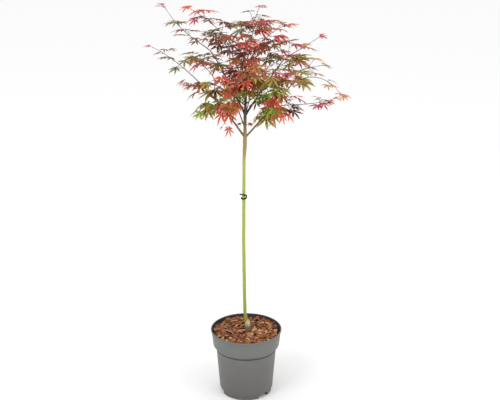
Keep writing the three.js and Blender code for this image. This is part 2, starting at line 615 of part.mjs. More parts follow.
// One mass, grown from its own seed. What is kept of it fits its space and stays clear of all made before.
function growMass(size, limb, stem, seed, fits, madeBefore) {
  const random = seeded(seed);
  const butt = limb.radiusAt(1);
  const steps = size.nodes + 1;
  const stemSolid = limbSolid(stem, (share) => butt + share * (STEM_RADIUS - butt), STEM_SIDES, steps);
  const leaves = [];
  let body = stemSolid;

  // What chance gives a leaf at a share of the stem, for leaves get smaller towards its end. It is drawn for
  // each leaf, kept or not, so that no leaf changes those after it.
  const leafForm = (share) => ({
    length: size.leaf * (1 - LEAF_TAPER * share) * random(...LEAF_VARIETY),
    droop: size.droop + random(-LEAF_PITCH, LEAF_PITCH),
    roll: random(-LEAF_ROLL, LEAF_ROLL),
  });

  // A leaf whose stalk starts at a foot inside one of its hosts, the only pieces that the stalk may touch.
  function addLeaf({ length, droop, roll }, hosts, foot, towards, stalk, radius) {
    for (const attempt of TRIES) {
      const way = towards.clone().normalize().applyAxisAngle(UP, radians(attempt.turn));
      const base = foot.clone().addScaledVector(way, stalk * attempt.reach);
      const leaf = placeLeaf(base, way, length, droop + attempt.droop, roll);
      if (!fits(base) || !fits(leaf.heart)) continue;
      const solid = leafSolid(leaf, foot, radius);
      const blade = leafSolid(leaf, base.clone().addScaledVector(way, -BLADE_BACK), radius);
      if (solid.minGap(madeBefore, 2 * GAP) <= GAP) continue;
      if (!hosts.includes(stemSolid) && touch(solid, stemSolid)) continue;
      const crossed = leaves.some((other) =>
        hosts.includes(other.solid)
          ? touch(blade, other.solid) || touch(solid, other.blade)
          : touch(solid, other.solid),
      );
      if (crossed) continue;
      const fused = body.add(solid).asOriginal().simplify(SLIVER);
      if (!isClean(fused)) continue;
      body = fused;
      leaves.push({ solid, blade });
      return { solid, back: leaf.over.add(leaf.rim[0]).add(leaf.rim.at(-1)).divideScalar(3) };
    }
    return null;
  }

  // A twig at a share of the stem that ends in a leaf, with a pair of leaves at the node behind it.
  function addTwig(share, siblings, foot, way, reach) {
    const twig = addLeaf(leafForm(share), [stemSolid, ...siblings], foot, way, reach, TWIG_RADIUS);
    const hosts = twig ? [twig.solid] : [];
    const level = new THREE.Vector3().crossVectors(way, UP).normalize();
    const turn = radians(STALK_SPREAD);
    for (const side of [-1, 1]) {
      const away = way.clone().multiplyScalar(Math.cos(turn)).addScaledVector(level, side * Math.sin(turn));
      away.addScaledVector(UP, random(...TILT));
      const stalk = random(...STALK_LENGTH);
      const form = leafForm(share);
      if (!twig) continue;
      const root = foot.clone().lerp(twig.back, TWIG_NODE + side * TWIG_NODE_SHIFT);
      const leaf = addLeaf(form, hosts, root, away, stalk, STALK_RADIUS);
      if (leaf) hosts.push(leaf.solid);
    }
    return twig ? [twig.solid] : [];
  }

  for (let node = 1; node <= size.nodes; node++) {
    const share = node / steps;
    const onward = stem.getTangent(share);
    const across = new THREE.Vector3().crossVectors(onward, UP).normalize();
    across.applyAxisAngle(onward, radians((node % 2) * CROSSED + random(-UNEVEN, UNEVEN)));
    const siblings = [];
    for (const side of [-1, 1]) {
      const splay = radians(SPLAY + random(-UNEVEN, UNEVEN));
      const way = onward.clone().multiplyScalar(Math.cos(splay));
      way.addScaledVector(across, side * Math.sin(splay)).addScaledVector(UP, random(...TILT)).normalize();
      const reach = size.twig * (1 - TWIG_TAPER * share) * random(...TWIG_VARIETY);
      const bare = share > size.bare[0] && share < size.bare[1];
      if (!bare) siblings.push(...addTwig(share, siblings, stem.getPoint(share), way, reach));
    }
  }
  const onward = stem.getTangent(1);
  const foot = stem.getPoint(1).addScaledVector(onward, -STEM_RADIUS);
  addTwig(1, [], foot, onward, random(...STALK_LENGTH));
  return body;
}

// Whether a point is within reach of its own stem and nearer to it than to any other stem.
function fitter(name, reach, stems) {
  const away = (point, samples) => Math.min(...samples.map((sample) => sample.distanceTo(point)));
  return (point) => {
    const own = away(point, stems[name]);
    if (own > reach) return false;
    return Object.entries(stems).every(([other, samples]) => other === name || away(point, samples) > own);
  };
}

const { limbs, limbsGrown } = growLimbs();
const masses = Object.entries(MASSES).map(([name, own], i) => {
  const size = { ...USUAL, ...own };
  return { name, size, stem: stemCurve(size, limbs[size.limb]), seed: SEED_START + i * SEED_STEP };
});
const stems = {};
for (const { name, stem } of masses) {
  stems[name] = Array.from({ length: SPACE_SAMPLES + 1 }, (_, i) => stem.getPoint(i / SPACE_SAMPLES));
}

const model = new THREE.Group();
model.add(meshOf("pot", pot(), "pot"));
model.add(meshOf("filling", filling(), "bark_mulch"));

const plant = new THREE.Group();
plant.position.z = GROUND_LEVEL + GAP;
for (const [name, limb] of Object.entries(limbs)) {
  plant.add(meshOf(name, limb.solid, name === "trunk" ? "stem" : "bough"));
}
plant.add(meshOf("tie", tie(), "tie"));
let made = limbsGrown;
for (const { name, size, stem, seed } of masses) {
  const solid = growMass(size, limbs[size.limb], stem, seed, fitter(name, size.reach, stems), made);
  plant.add(meshOf(name, solid, "foliage"));
  made = made.add(solid);
}
model.add(plant);

export default model;
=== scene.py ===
"""A young Japanese maple in a nursery pot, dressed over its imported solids.

The plant is worked out in millimetres above the ground level, as in the part's source, and turned into
metres in the row frame when a mesh is made. The rule by which a mass grows, with its seeds and its random
draws, is the source's own, carried on to finer twigs and more leaves within the same reach.
"""

import math

import bpy
from mathutils import Matrix, Vector, noise


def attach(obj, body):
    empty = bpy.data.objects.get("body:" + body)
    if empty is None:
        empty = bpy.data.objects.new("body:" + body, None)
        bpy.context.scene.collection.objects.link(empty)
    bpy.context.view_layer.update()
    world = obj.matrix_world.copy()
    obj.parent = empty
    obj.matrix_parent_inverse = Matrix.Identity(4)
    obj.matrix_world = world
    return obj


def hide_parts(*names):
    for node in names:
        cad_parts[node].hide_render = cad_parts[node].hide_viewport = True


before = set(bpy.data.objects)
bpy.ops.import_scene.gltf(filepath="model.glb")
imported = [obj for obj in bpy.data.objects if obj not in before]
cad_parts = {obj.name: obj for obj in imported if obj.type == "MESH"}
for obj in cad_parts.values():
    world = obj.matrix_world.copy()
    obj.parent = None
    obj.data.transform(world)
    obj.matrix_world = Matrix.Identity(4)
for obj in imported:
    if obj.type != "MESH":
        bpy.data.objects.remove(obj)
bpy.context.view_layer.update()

MM = 0.001
GAP = 0.3
UP = Vector((0, 0, 1))

# The levels of the soil and the mulch, and the hollow in the mulch at the stem, as in the source
GROUND_LEVEL = 185
MULCH_LEVEL = 191
HOLLOW_RADIUS = 14
HOLLOW_RIM = 22
PLANT_FOOT = Vector((0, 0, GROUND_LEVEL + GAP))

# The pot, as in the source but for its shoulder, which ends where the photograph shows the crease
POT_HEIGHT = 200
RIM_RADIUS = 105
RIM_HEIGHT = 5
RIM_STEP = 1.2
BAND_HEIGHT = 48
BAND_FOOT_RADIUS = 98.2
SHOULDER_HEIGHT = 10
SHOULDER_RADIUS = 90
BODY_FOOT_RADIUS = 79.2
FOOT_RADIUS = 75.4
FOOT_HEIGHT = 12
FOOT_TAPER = 3
POT_WALL = 2.4
POT_FLOOR = 3
DRAIN_HOLES = 6
DRAIN_RADIUS = 5
DRAIN_CIRCLE = 42
NOTCHES = 3
NOTCH_AZIMUTH = -47
NOTCH_WIDTH = 34
NOTCH_HEIGHT = 11
NOTCH_DEPTH = 14

# What the scene adds to the pot: creases, soft edges, and the blocks that cut its notches
CREASE = 1.1
CREASE_REACH = 4 * CREASE
CREASE_LIP = 0.5
# How far above the shoulder's foot the painted shadow in the crease reaches
CREASE_SHADE_TOP = 0.6
RIM_LIP = 0.6
WALL_EASE = 1
EDGE_RADIUS = 0.8
EDGE_STEPS = 3
POT_SEGMENTS = 144
NOTCH_BLOCK_LENGTH = 40
NOTCH_BLOCK_BELOW = 5
DRAIN_CUT = 20
DRAIN_SIDES = 32

# The top of the filling: soil that lies under the mulch's level, tucked into the wall, and chips over it.
# A chip draws its length, width, thickness and lift from ranges.
SOIL_RINGS = 40
SOIL_SEGMENTS = 120
SOIL_SINK = 2
SOIL_TUCK = 3
SOIL_LUMPS = ((0.16, 2.2), (0.5, 1))
CHIP_SEED = 4021
CHIP_COUNT = 430
CHIP_MIDDLE = 0.006
CHIP_SPREAD = 96
CHIP_EDGE = 99
CHIP_LENGTH = (9, 27)
CHIP_WIDTH = (4.5, 12)
CHIP_THICKNESS = (1.8, 4.5)
CHIP_LIFT = (-1.5, 3.6)
CHIP_ROLL = 0.7
CHIP_PITCH = 0.4
CHIP_STATIONS = (-0.5, -0.36, -0.1, 0.14, 0.38, 0.5)
CHIP_SECTION = ((-1, -0.8), (-0.5, 1), (0.5, 0.9), (1, -0.7))
CHIP_ACROSS = (0.75, 1.15)
CHIP_DEEP = (0.7, 1.2)
CHIP_SHIFT = 1
CHIP_BLUNT = 0.45
CHIP_BEND = 3
STRAW_ENDS = ((-86, 6), (-36, -26))
STRAW_LIFT = 5
STRAW_BOW = 3
STRAW_STEPS = 8
STRAW_RADIUS = 0.6
STRAW_SIDES = 6

# The trunk, as in the source: the places of its axis and its radii, by height
TRUNK_AXIS = [
    (0, 5, 0), (10, 4.8, 0), (38, 0.6, 1), (62, -3.2, 1.4), (107, -4.6, 2), (295, -7, 1), (540, -5.5, 0),
    (575, -3, 0), (677, -2.2, 0),
]
TRUNK_RADII = [
    (0, 7.8), (14, 7.4), (28, 5.2), (56, 4.8), (300, 4.5), (548, 4), (562, 5.2), (596, 5.3), (618, 4.3),
    (648, 3.9), (677, 4.4),
]
TRUNK_HEIGHT = TRUNK_AXIS[-1][0]

# What the scene adds to the trunk: its bark, eased bends, nodes that swell and bear a scar, and the burl at
# its foot. A scar and the burl are heights with radii, the scar's over the bark about it.
BARK = 0.25
TRUNK_RINGS = 300
AXIS_EASE = 0.012
RADIUS_EASE = 9
STEM_NODES = (150, 295, 369, 442, 523)
NODE_SWELL = 0.4
NODE_LENGTH = 4.5
SCAR_RISE = 0.35
SCAR = ((-1.6, -0.4), (-0.8, 0.25), (0.8, 0.25), (1.6, -0.4))
BURL = ((-2, 7.6), (6, 8.2), (14, 8), (22, 7.5), (29, 7.5), (34, 7), (38, 5.4), (43, 3))
BURL_SHIFT = Vector((0.8, -0.8, 0))
BURL_LEAN = -0.045

# The tie, as in the source: each turn by angle, share of the span and stretch
TIE_HEIGHT = 428
TIE_RADIUS = 1.9
TIE_SPAN = 12
TIE_TAIL = 7
TIE_TURNS = [
    (-128, 0.54, 1.12), (-90, 0.5, 1.05), (-45, 0.45, 1.05), (0, 0.28, 1.12), (14, 0, 1.16),
    (0, -0.28, 1.12), (-45, -0.42, 1.05), (-90, -0.5, 1.05), (-140, -0.5, 1.06), (-190, -0.46, 1.06),
    (-235, -0.36, 1.06), (-270, -0.27, 1.06),
]
TIE_STEPS = 6

# The limbs, as in the source: host, share of its length, end, bow, and radii at the butt and the tip
LIMBS = {
    "low_left_bough": ("trunk", 0.887, (-111, -12, 743), 6, 2.8, 1.4),
    "low_right_bough": ("trunk", 0.887, (122, 14, 743), -2, 2.7, 1.4),
    "fork_centre_bough": ("trunk", 1, (-2, 4, 862), 0, 2.7, 1.4),
    "fork_left_bough": ("trunk", 0.985, (-88, 12, 830), 4, 2.8, 1.5),
    "fork_right_bough": ("trunk", 0.98, (96, 18, 807), 3, 2.9, 1.5),
    "fork_front_bough": ("trunk", 0.965, (2, -84, 772), 3, 2.4, 1.4),
    "fork_back_bough": ("trunk", 0.955, (6, 96, 782), 3, 2.5, 1.4),
    "low_back_branch": ("trunk", 0.925, (-32, 62, 690), 2, 1.8, 1.2),
    "left_up_branch": ("low_left_bough", 0.78, (-84, -26, 764), 0, 1.4, 1.1),
    "left_side_branch": ("low_left_bough", 0.62, (-93, -30, 722), 2, 1.4, 1.1),
    "left_low_branch": ("low_left_bough", 0.3, (-42, -38, 680), 2, 1.5, 1.1),
    "right_side_branch": ("low_right_bough", 0.5, (96, -16, 695), 3, 1.5, 1.2),
    "right_low_branch": ("low_right_bough", 0.3, (46, -45, 688), 2, 1.5, 1.1),
    "right_mid_branch": ("fork_right_bough", 0.45, (100, -34, 774), 2, 1.6, 1.2),
    "front_left_branch": ("fork_front_bough", 0.35, (-52, -84, 752), 2, 1.6, 1.2),
    "front_right_branch": ("fork_front_bough", 0.4, (56, -92, 762), 2, 1.6, 1.2),
    "back_left_branch": ("fork_back_bough", 0.35, (-66, 88, 766), 2, 1.7, 1.2),
    "back_right_branch": ("fork_back_bough", 0.45, (72, 96, 762), 2, 1.7, 1.2),
    "core_front_branch": ("fork_centre_bough", 0.2, (-10, -38, 776), 2, 1.6, 1.2),
    "core_left_branch": ("fork_left_bough", 0.5, (-44, 48, 830), 2, 1.5, 1.2),
    "core_right_branch": ("fork_right_bough", 0.5, (56, 30, 812), 2, 1.5, 1.2),
    "top_left_branch": ("fork_centre_bough", 0.4, (-53, -14, 876), -2, 1.7, 1.2),
    "top_right_branch": ("fork_centre_bough", 0.5, (49, -14, 872), -2, 1.6, 1.2),
    "top_front_branch": ("fork_centre_bough", 0.35, (-12, -66, 838), 0, 1.6, 1.2),
    "top_back_branch": ("fork_centre_bough", 0.55, (14, 60, 862), 0, 1.6, 1.2),
    "low_left_branch": ("low_left_bough", 0.42, (-72, -26, 694), 2, 1.4, 1.1),
    "low_front_branch": ("trunk", 0.975, (13, -36, 728), 2, 1.7, 1.2),
}

LIMB_RINGS = 24
COLLAR_SWELL = 0.35
COLLAR_LENGTH = 9

# The masses, as in the source. In the scene each also has its tints, one to a twig and the last for its end,
# the nodes that each of its twigs gets more, and the share of its side leaves that is left out, so that it
# is as open as in the photograph.
USUAL = dict(bow=5, reach=68, bare=(0, 0), nodes=3, twig=44, leaf=38, droop=12, more=1, open=0.2)
MASSES = {
    "far_left_spray": dict(
        limb="low_left_bough", end=(-246, -34, 858), bow=9, reach=58, bare=(0, 0.5), nodes=5, twig=26,
        leaf=27, droop=3, tints="greygreen greygreen greygreen maroon brown crimson crimson", more=0,
        open=0.9,
    ),
    "right_arch_spray": dict(
        limb="low_right_bough", end=(258, 34, 724), bow=30, reach=60, bare=(0.25, 0.66), nodes=4,
        twig=30, leaf=31, droop=8, tints="olive bronze olive orange orange", more=0, open=0.3,
    ),
    "upper_left_spray": dict(
        limb="fork_left_bough", end=(-214, 26, 950), bow=-16, reach=58, bare=(0, 0.3), nodes=4, twig=28,
        leaf=31, droop=3, tints="brown moss brown bronze moss bronze crimson", more=0, open=0.4,
    ),
    "top_centre_spray": dict(
        limb="fork_centre_bough", end=(31, 2, 946), bow=0, twig=46, droop=4,
        tints="moss brown bronze red maroon crimson crimson", more=0, open=0.7,
    ),
    "right_upper_spray": dict(
        limb="fork_right_bough", end=(186, 34, 866), bow=0, nodes=2, droop=6,
        tints="bronze olive orange bronze crimson", more=0, open=0.7,
    ),
    "front_spray": dict(
        limb="fork_front_bough", end=(6, -176, 812), reach=74, twig=48, leaf=40, droop=16,
        tints="olive brown bronze brown bronze scarlet brown", open=0.5,
    ),
    "back_spray": dict(
        limb="fork_back_bough", end=(0, 206, 820), reach=74, nodes=2, twig=48, leaf=41,
        tints="brown bronze moss red brown",
    ),
    "low_back_spray": dict(
        limb="low_back_branch", end=(-44, 150, 704), nodes=2, twig=42, droop=42,
        tints="green olive green scarlet green", open=0.3,
    ),
    "left_middle_spray": dict(
        limb="left_up_branch", end=(-128, -54, 826), nodes=2, twig=42,
        tints="moss maroon brown crimson moss", more=0, open=0.6,
    ),
    "left_side_spray": dict(
        limb="left_side_branch", end=(-144, -60, 764), reach=58, nodes=2, twig=34, leaf=35, droop=20,
        tints="maroon brown bronze scarlet bronze", more=0, open=0.55,
    ),
    "left_hanging_spray": dict(
        limb="left_low_branch", end=(-52, -86, 708), reach=52, nodes=2, twig=30, leaf=33, droop=48,
        tints="scarlet scarlet orange scarlet bronze", open=0.5,
    ),
    "low_right_spray": dict(
        limb="right_side_branch", end=(232, -30, 716), bow=-5, reach=60, bare=(0.3, 0.72), nodes=4,
        twig=28, leaf=28, droop=18, tints="crimson maroon olive crimson orange", open=0.1,
    ),
    "right_hanging_spray": dict(
        limb="right_low_branch", end=(84, -98, 696), nodes=2, twig=37, droop=44,
        tints="scarlet olive bronze green scarlet", open=0.3,
    ),
    "right_middle_spray": dict(
        limb="right_mid_branch", end=(194, -50, 812), twig=43, leaf=37,
        tints="bronze olive maroon olive orange bronze olive", more=0, open=0.65,
    ),
    "front_left_spray": dict(
        limb="front_left_branch", end=(-108, -152, 788), nodes=2, droop=18,
        tints="scarlet olive brown brown maroon", open=0.6,
    ),
    "front_right_spray": dict(
        limb="front_right_branch", end=(112, -160, 796), leaf=39, droop=16,
        tints="bronze green moss olive crimson olive bronze", open=0.4,
    ),
    "back_left_spray": dict(
        limb="back_left_branch", end=(-134, 152, 806), nodes=2, twig=48, leaf=41,
        tints="moss brown bronze red moss", open=0.4,
    ),
    "back_right_spray": dict(
        limb="back_right_branch", end=(140, 152, 798), nodes=2, twig=48, leaf=41,
        tints="moss bronze scarlet brown olive", open=0.3,
    ),
    "core_front_spray": dict(
        limb="core_front_branch", end=(-6, -96, 846), nodes=2, twig=42,
        tints="scarlet maroon brown bronze maroon", open=0.4,
    ),
    "core_left_spray": dict(
        limb="core_left_branch", end=(-96, 92, 872), nodes=2, tints="moss maroon brown moss brown", open=0.35,
    ),
    "core_right_spray": dict(
        limb="core_right_branch", end=(84, 84, 860), nodes=2, tints="brown red brown bronze moss", open=0.4,
    ),
    "top_left_spray": dict(
        limb="top_left_branch", end=(-136, -26, 954), reach=62, twig=38, leaf=35, droop=4,
        tints="maroon moss maroon brown red crimson scarlet", more=0, open=0.6,
    ),
    "top_right_spray": dict(
        limb="top_right_branch", end=(104, -30, 916), nodes=2, twig=42, droop=6,
        tints="bronze red brown bronze scarlet", more=0, open=0.55,
    ),
    "top_front_spray": dict(
        limb="top_front_branch", end=(-24, -122, 896), nodes=2, droop=6,
        tints="brown maroon red maroon brown", more=0, open=0.45,
    ),
    "top_back_spray": dict(
        limb="top_back_branch", end=(34, 120, 912), nodes=2, droop=8,
        tints="bronze red moss brown moss", open=0.3,
    ),
    "low_left_spray": dict(
        limb="low_left_branch", end=(-112, -56, 694), reach=54, nodes=2, twig=35, leaf=33, droop=38,
        tints="green olive olive olive green", open=0.65,
    ),
    "low_front_spray": dict(
        limb="low_front_branch", end=(34, -94, 788), reach=56, nodes=2, twig=38, leaf=36, droop=16,
        tints="green olive bronze green bronze", open=0.4,
    ),
}

# Short spurs on the limbs about the fork: host, share of its length, direction, length and tint. Each has
# leaves at angles and shares of its length.
SPURS = [
    ("fork_right_bough", 0.42, (0.3, -0.9, -0.1), 22, "green"),
    ("fork_right_bough", 0.26, (0.8, -0.6, 0.05), 22, "bronze"),
    ("low_right_bough", 0.62, (-0.4, -0.6, 0.6), 26, "olive"),
    ("fork_centre_bough", 0.3, (0.3, -0.9, 0.1), 22, "green"),
    ("fork_left_bough", 0.4, (-0.2, -0.9, 0), 20, "scarlet"),
    ("low_right_bough", 0.8, (-0.3, -0.7, 0.3), 22, "bronze"),
]
SPUR_LEAVES = ((-80, 0.6), (80, 0.6), (-34, 1), (34, 1), (0, 1))
SPUR_STALK = (6, 12)
SPUR_DROOP = (8, 38)
SPUR_LEAF = (25, 33)
SPUR_RADII = (1, 0.9, 0.8, 0.6)
SPUR_STALK_RADII = (0.5, 0.45, 0.4, 0.38)

# Young shoots that stand out of the trunk between its forks: height, direction and length. Each ends in a
# fan of small leaves.
SHOOT_SEED = 77
SHOOTS = [(634, (0.85, -0.3, 0.5), 17), (642, (-0.95, -0.3, 0.05), 16)]
SHOOT_RADII = (1.2, 1, 0.9, 0.8)
SHOOT_LEAVES = 5
SHOOT_FAN = 48
SHOOT_DROOP = (-30, 50)
SHOOT_ROLL = 30
SHOOT_LEAF = (8.5, 12)

# Two leaves that hang by long stalks from one joint: base, direction, droop, length and tint
HANGING_ROOT = Vector((-43, -40, 681))
HANGING_JOINT = Vector((-57, -66, 658))
HANGING_RADII = (0.6, 0.5, 0.5, 0.45)
HANGING_STALK_RADII = (0.45, 0.42, 0.4, 0.38)
HANGING_ROLL = 10
HANGING = [
    ((-47, -74, 646), (0.7, -0.5, 0), 66, 27, "scarlet"),
    ((-66, -64, 647), (-0.8, -0.5, 0), 40, 11, "crimson"),
]

# The rule by which a mass grows, as in the source. TRIES are the turn, the share of the reach and the added
# droop with which a leaf is tried, until it keeps to its mass's space.
SEED_START = 11
SEED_STEP = 12
STEM_RADIUS = 1.15
STEM_LEAD = 0.2
STEM_BEND = 0.6
TWIG_TAPER = 0.45
TWIG_VARIETY = (0.9, 1.3)
TWIG_NODE = 0.5
TWIG_NODE_SHIFT = 0.04
SPLAY = 56
CROSSED = 50
UNEVEN = 10
TILT = (-0.1, 0.2)
STALK_LENGTH = (14, 24)
STALK_SPREAD = 64
SPACE_SAMPLES = 8
TRIES = [(0, 1, 0), (24, 1.1, 8), (-24, 1.1, -6), (42, 0.8, 16), (-42, 0.8, 12), (0, 0.6, 24)]
LEAF_VARIETY = (0.82, 1.15)
LEAF_TAPER = 0.35
LEAF_ROLL = 20
LEAF_PITCH = 14
HEART_SHARE = 0.4

# What the scene adds to the rule: more leaves in pairs on each twig and stem, in tints of their own, with
# twigs and stalks that end finer, and lobes that differ
MORE_SEED = 5000
MORE_TWIG_NODES = ((0.26, 0.85), (0.76, 0.72))
MORE_STEM_SCALE = 0.85
MORE_SPREAD = 58
MORE_UNEVEN = 14
MORE_TILT = (-0.35, 0.45)
MORE_VARIETY = (0.8, 1.15)
MORE_PITCH = (-18, 22)
MORE_ROLL = 30
MORE_STALK = (10, 22)
OWN_TINT_SHARE = 0.75
MORE_OWN_TINT_SHARE = 0.6
TWIG_RADII = (0.85, 0.5)
STALK_RADII = (0.5, 0.38)
STALK_BOW = 0.06
STEM_RINGS = 20
STEM_END_RADIUS = 0.6
LEAF_GROWTH = 1.13
LOBE_VARIETY = 0.1
LOBE_TURN = 60
LOBE_SAG = 0.13
LOBE_SAG_VARIETY = (0.5, 1.7)
LOBE_TWIST = 0.4
LOBE_FOLD = 0.3

# How round the tubes are, and the scale of their relief across and along the stem
RELIEF_GRAIN = Vector((0.35, 0.35, 0.12))
TRUNK_SIDES = 24
BURL_SIDES = 18
LIMB_SIDES = 12
TIE_SIDES = 12
STEM_SIDES = 7
SHOOT_SIDES = 6
TWIG_SIDES = 5
STALK_SIDES = 4

# A leaf's lobes by angle and share of its length. Half a lobe's outline is by share of the lobe: where, how
# wide, and how far its teeth reach ahead. Its first stations belong to the heart of the leaf.
LOBES = [(-126, 0.4), (-84, 0.66), (-43, 0.92), (0, 1), (43, 0.92), (84, 0.66), (126, 0.4)]
LOBE_OUTLINE = [
    (0.06, 0.03, 0), (0.24, 0.076, 0.02), (0.3, 0.078, 0), (0.44, 0.11, 0.03), (0.5, 0.096, 0),
    (0.64, 0.098, 0.03), (0.7, 0.074, 0), (0.84, 0.046, 0.02),
]
HEART_STATIONS = 3

# Tints as the lobes' ends and the heart of a leaf, in levels of red, green and blue
TINTS = {
    "crimson": ((200, 76, 94), (166, 58, 72)),
    "red": ((216, 86, 70), (180, 70, 54)),
    "scarlet": ((226, 108, 78), (196, 88, 60)),
    "orange": ((228, 136, 78), (180, 134, 60)),
    "bronze": ((180, 108, 66), (146, 98, 52)),
    "brown": ((156, 82, 58), (126, 68, 46)),
    "maroon": ((122, 56, 48), (94, 44, 38)),
    "moss": ((130, 106, 54), (96, 88, 42)),
    "olive": ((168, 146, 62), (130, 124, 46)),
    "green": ((152, 164, 68), (120, 142, 52)),
    "greygreen": ((142, 140, 100), (116, 122, 82)),
}


class Draw:
    """Park and Miller's generator, as in the source."""

    def __init__(self, seed):
        self.state = seed * 7919 + 17

    def __call__(self, low=0.0, high=1.0):
        self.state = self.state * 48271 % 2147483647
        return low + (high - low) * self.state / 2147483647

    def pick(self, things):
        return things[int(self(0, len(things) - 1e-6))]


def between(listed, height, column):
    """The value at a height, by straight lines between the listed heights."""
    if height <= listed[0][0]:
        return listed[0][column]
    for low, high in zip(listed, listed[1:]):
        if height <= high[0]:
            share = (height - low[0]) / (high[0] - low[0])
            return low[column] + share * (high[column] - low[column])
    return listed[-1][column]


def bezier(*points):
    """A Bezier curve as a function from share to point."""

    def at(share):
        left = [Vector(p) for p in points]
        while len(left) > 1:
            left = [a.lerp(b, share) for a, b in zip(left, left[1:])]
        return left[0]

    return at


def tangent(curve, share):
    """The direction in which a curve runs at a share of its length."""
    step = 1e-3
    return (curve(min(1, share + step)) - curve(max(0, share - step))).normalized()


def bowed(start, end, lift, steps=3):
    """Points from start to end, lifted in the middle."""
    return [start.lerp(end, i / steps) + UP * lift * math.sin(math.pi * i / steps) for i in range(steps + 1)]


def through(turns, steps):
    """Points of a smooth curve that passes through all the turns."""
    points = []
    for i in range(len(turns) - 1):
        a, b = turns[max(i - 1, 0)], turns[i]
        c, d = turns[i + 1], turns[min(i + 2, len(turns) - 1)]
        for k in range(steps):
            t = k / steps
            points.append(0.5 * (
                2 * b + (c - a) * t + (2 * a - 5 * b + 4 * c - d) * t**2 + (3 * b - a - 3 * c + d) * t**3
            ))
    return points + [turns[-1]]


def turned(vector, axis, degrees):
    """The vector turned about an axis."""
    return Matrix.Rotation(math.radians(degrees), 3, axis) @ vector


class Build:
    """A mesh under construction: points, faces, and the material of each face."""

    def __init__(self, origin=PLANT_FOOT):
        self.origin = origin
        self.points, self.faces, self.kinds, self.materials = [], [], [], []

    def add(self, points, faces, material):
        if material not in self.materials:
            self.materials.append(material)
        kind = self.materials.index(material)
        first = len(self.points)
        self.points += [(Vector(p) + self.origin) * MM for p in points]
        self.faces += [[first + i for i in face] for face in faces]
        self.kinds += [kind] * len(faces)

    def piece(self, name, slot, *nodes, smooth=True):
        mesh = bpy.data.meshes.new(name)
        mesh.from_pydata(self.points, [], self.faces)
        for material in self.materials:
            mesh.materials.append(material)
        mesh.polygons.foreach_set("material_index", self.kinds)
        mesh.polygons.foreach_set("use_smooth", [smooth] * len(self.faces))
        mesh.update()
        obj = bpy.data.objects.new(name, mesh)
        bpy.context.scene.collection.objects.link(obj)
        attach(obj, "root")
        if nodes:
            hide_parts(*nodes)
        return obj


def tube(build, points, radii, sides, material, relief=0.0):
    """A closed tube along points. Its frame is carried along, and relief roughens its wall."""
    count = len(points)
    ahead = [(points[min(i + 1, count - 1)] - points[max(i - 1, 0)]).normalized() for i in range(count)]
    side = ahead[0].orthogonal().normalized()
    rings = []
    for point, way, radius in zip(points, ahead, radii):
        side = (side - way * side.dot(way)).normalized()
        other = way.cross(side)
        for k in range(sides):
            turn = 2 * math.pi * k / sides
            out = side * math.cos(turn) + other * math.sin(turn)
            swell = 1 + relief * noise.noise((point + out * radius) * RELIEF_GRAIN)
            rings.append(point + out * radius * swell)
    faces = [list(range(sides - 1, -1, -1)), list(range((count - 1) * sides, count * sides))]
    for i in range(count - 1):
        for k in range(sides):
            a, b = i * sides + k, i * sides + (k + 1) % sides
            faces.append([a, b, b + sides, a + sides])
    build.add(rings, faces, material)


# Materials


def linear(rgb):
    """A colour given in levels from 0 to 255, as linear light."""
    return [((c / 255 + 0.055) / 1.055) ** 2.4 if c > 10 else c / 255 / 12.92 for c in rgb] + [1]


def principled(name, rgb, roughness, specular=0.5):
    """A material of one plain colour."""
    material = bpy.data.materials.new(name)
    material.use_nodes = True
    shader = material.node_tree.nodes["Principled BSDF"]
    shader.inputs["Base Color"].default_value = linear(rgb)
    shader.inputs["Roughness"].default_value = roughness
    shader.inputs["Specular IOR Level"].default_value = specular
    return material


def by_height(nodes, links, place, grain, along, spread):
    """How far up the range along a point lies, as a share that the grain shifts a little."""
    axes = nodes.new("ShaderNodeSeparateXYZ")
    links.new(place, axes.inputs[0])
    height = nodes.new("ShaderNodeMapRange")
    height.inputs["From Min"].default_value, height.inputs["From Max"].default_value = along
    links.new(axes.outputs["Z"], height.inputs["Value"])
    shift = nodes.new("ShaderNodeMath")
    shift.operation = "MULTIPLY_ADD"
    links.new(grain, shift.inputs[0])
    shift.inputs[1].default_value = spread
    links.new(height.outputs["Result"], shift.inputs[2])
    middle = nodes.new("ShaderNodeMath")
    middle.operation = "SUBTRACT"
    links.new(shift.outputs[0], middle.inputs[0])
    middle.inputs[1].default_value = spread / 2
    return middle.outputs[0]


def patterned(
    name, stops, roughness, scale, stretch=(1, 1, 1), spread=0.5, bump=0.3, along=None, depth=0.0004,
    specular=0.5,
):
    """A surface whose colour runs through stops by noise, or by height over the range along, then noise."""
    material = principled(name, stops[0][1], roughness, specular)
    nodes, links = material.node_tree.nodes, material.node_tree.links
    shader = nodes["Principled BSDF"]
    place = nodes.new("ShaderNodeTexCoord").outputs["Object"]
    mapping = nodes.new("ShaderNodeMapping")
    mapping.inputs["Scale"].default_value = stretch
    links.new(place, mapping.inputs["Vector"])
    noise_node = nodes.new("ShaderNodeTexNoise")
    noise_node.inputs["Scale"].default_value = scale
    noise_node.inputs["Detail"].default_value = 6
    noise_node.inputs["Roughness"].default_value = 0.65
    links.new(mapping.outputs["Vector"], noise_node.inputs["Vector"])
    grain = noise_node.outputs["Fac"]
    source = by_height(nodes, links, place, grain, along, spread) if along else grain
    ramp = nodes.new("ShaderNodeValToRGB")
    elements = ramp.color_ramp.elements
    elements[0].position, elements[1].position = stops[0][0], stops[-1][0]
    elements[0].color, elements[1].color = linear(stops[0][1]), linear(stops[-1][1])
    for position, rgb in stops[1:-1]:
        elements.new(position).color = linear(rgb)
    links.new(source, ramp.inputs["Fac"])
    links.new(ramp.outputs["Color"], shader.inputs["Base Color"])
    relief = nodes.new("ShaderNodeBump")
    relief.inputs["Strength"].default_value = bump
    relief.inputs["Distance"].default_value = depth
    links.new(grain, relief.inputs["Height"])
    links.new(relief.outputs["Normal"], shader.inputs["Normal"])
    return material


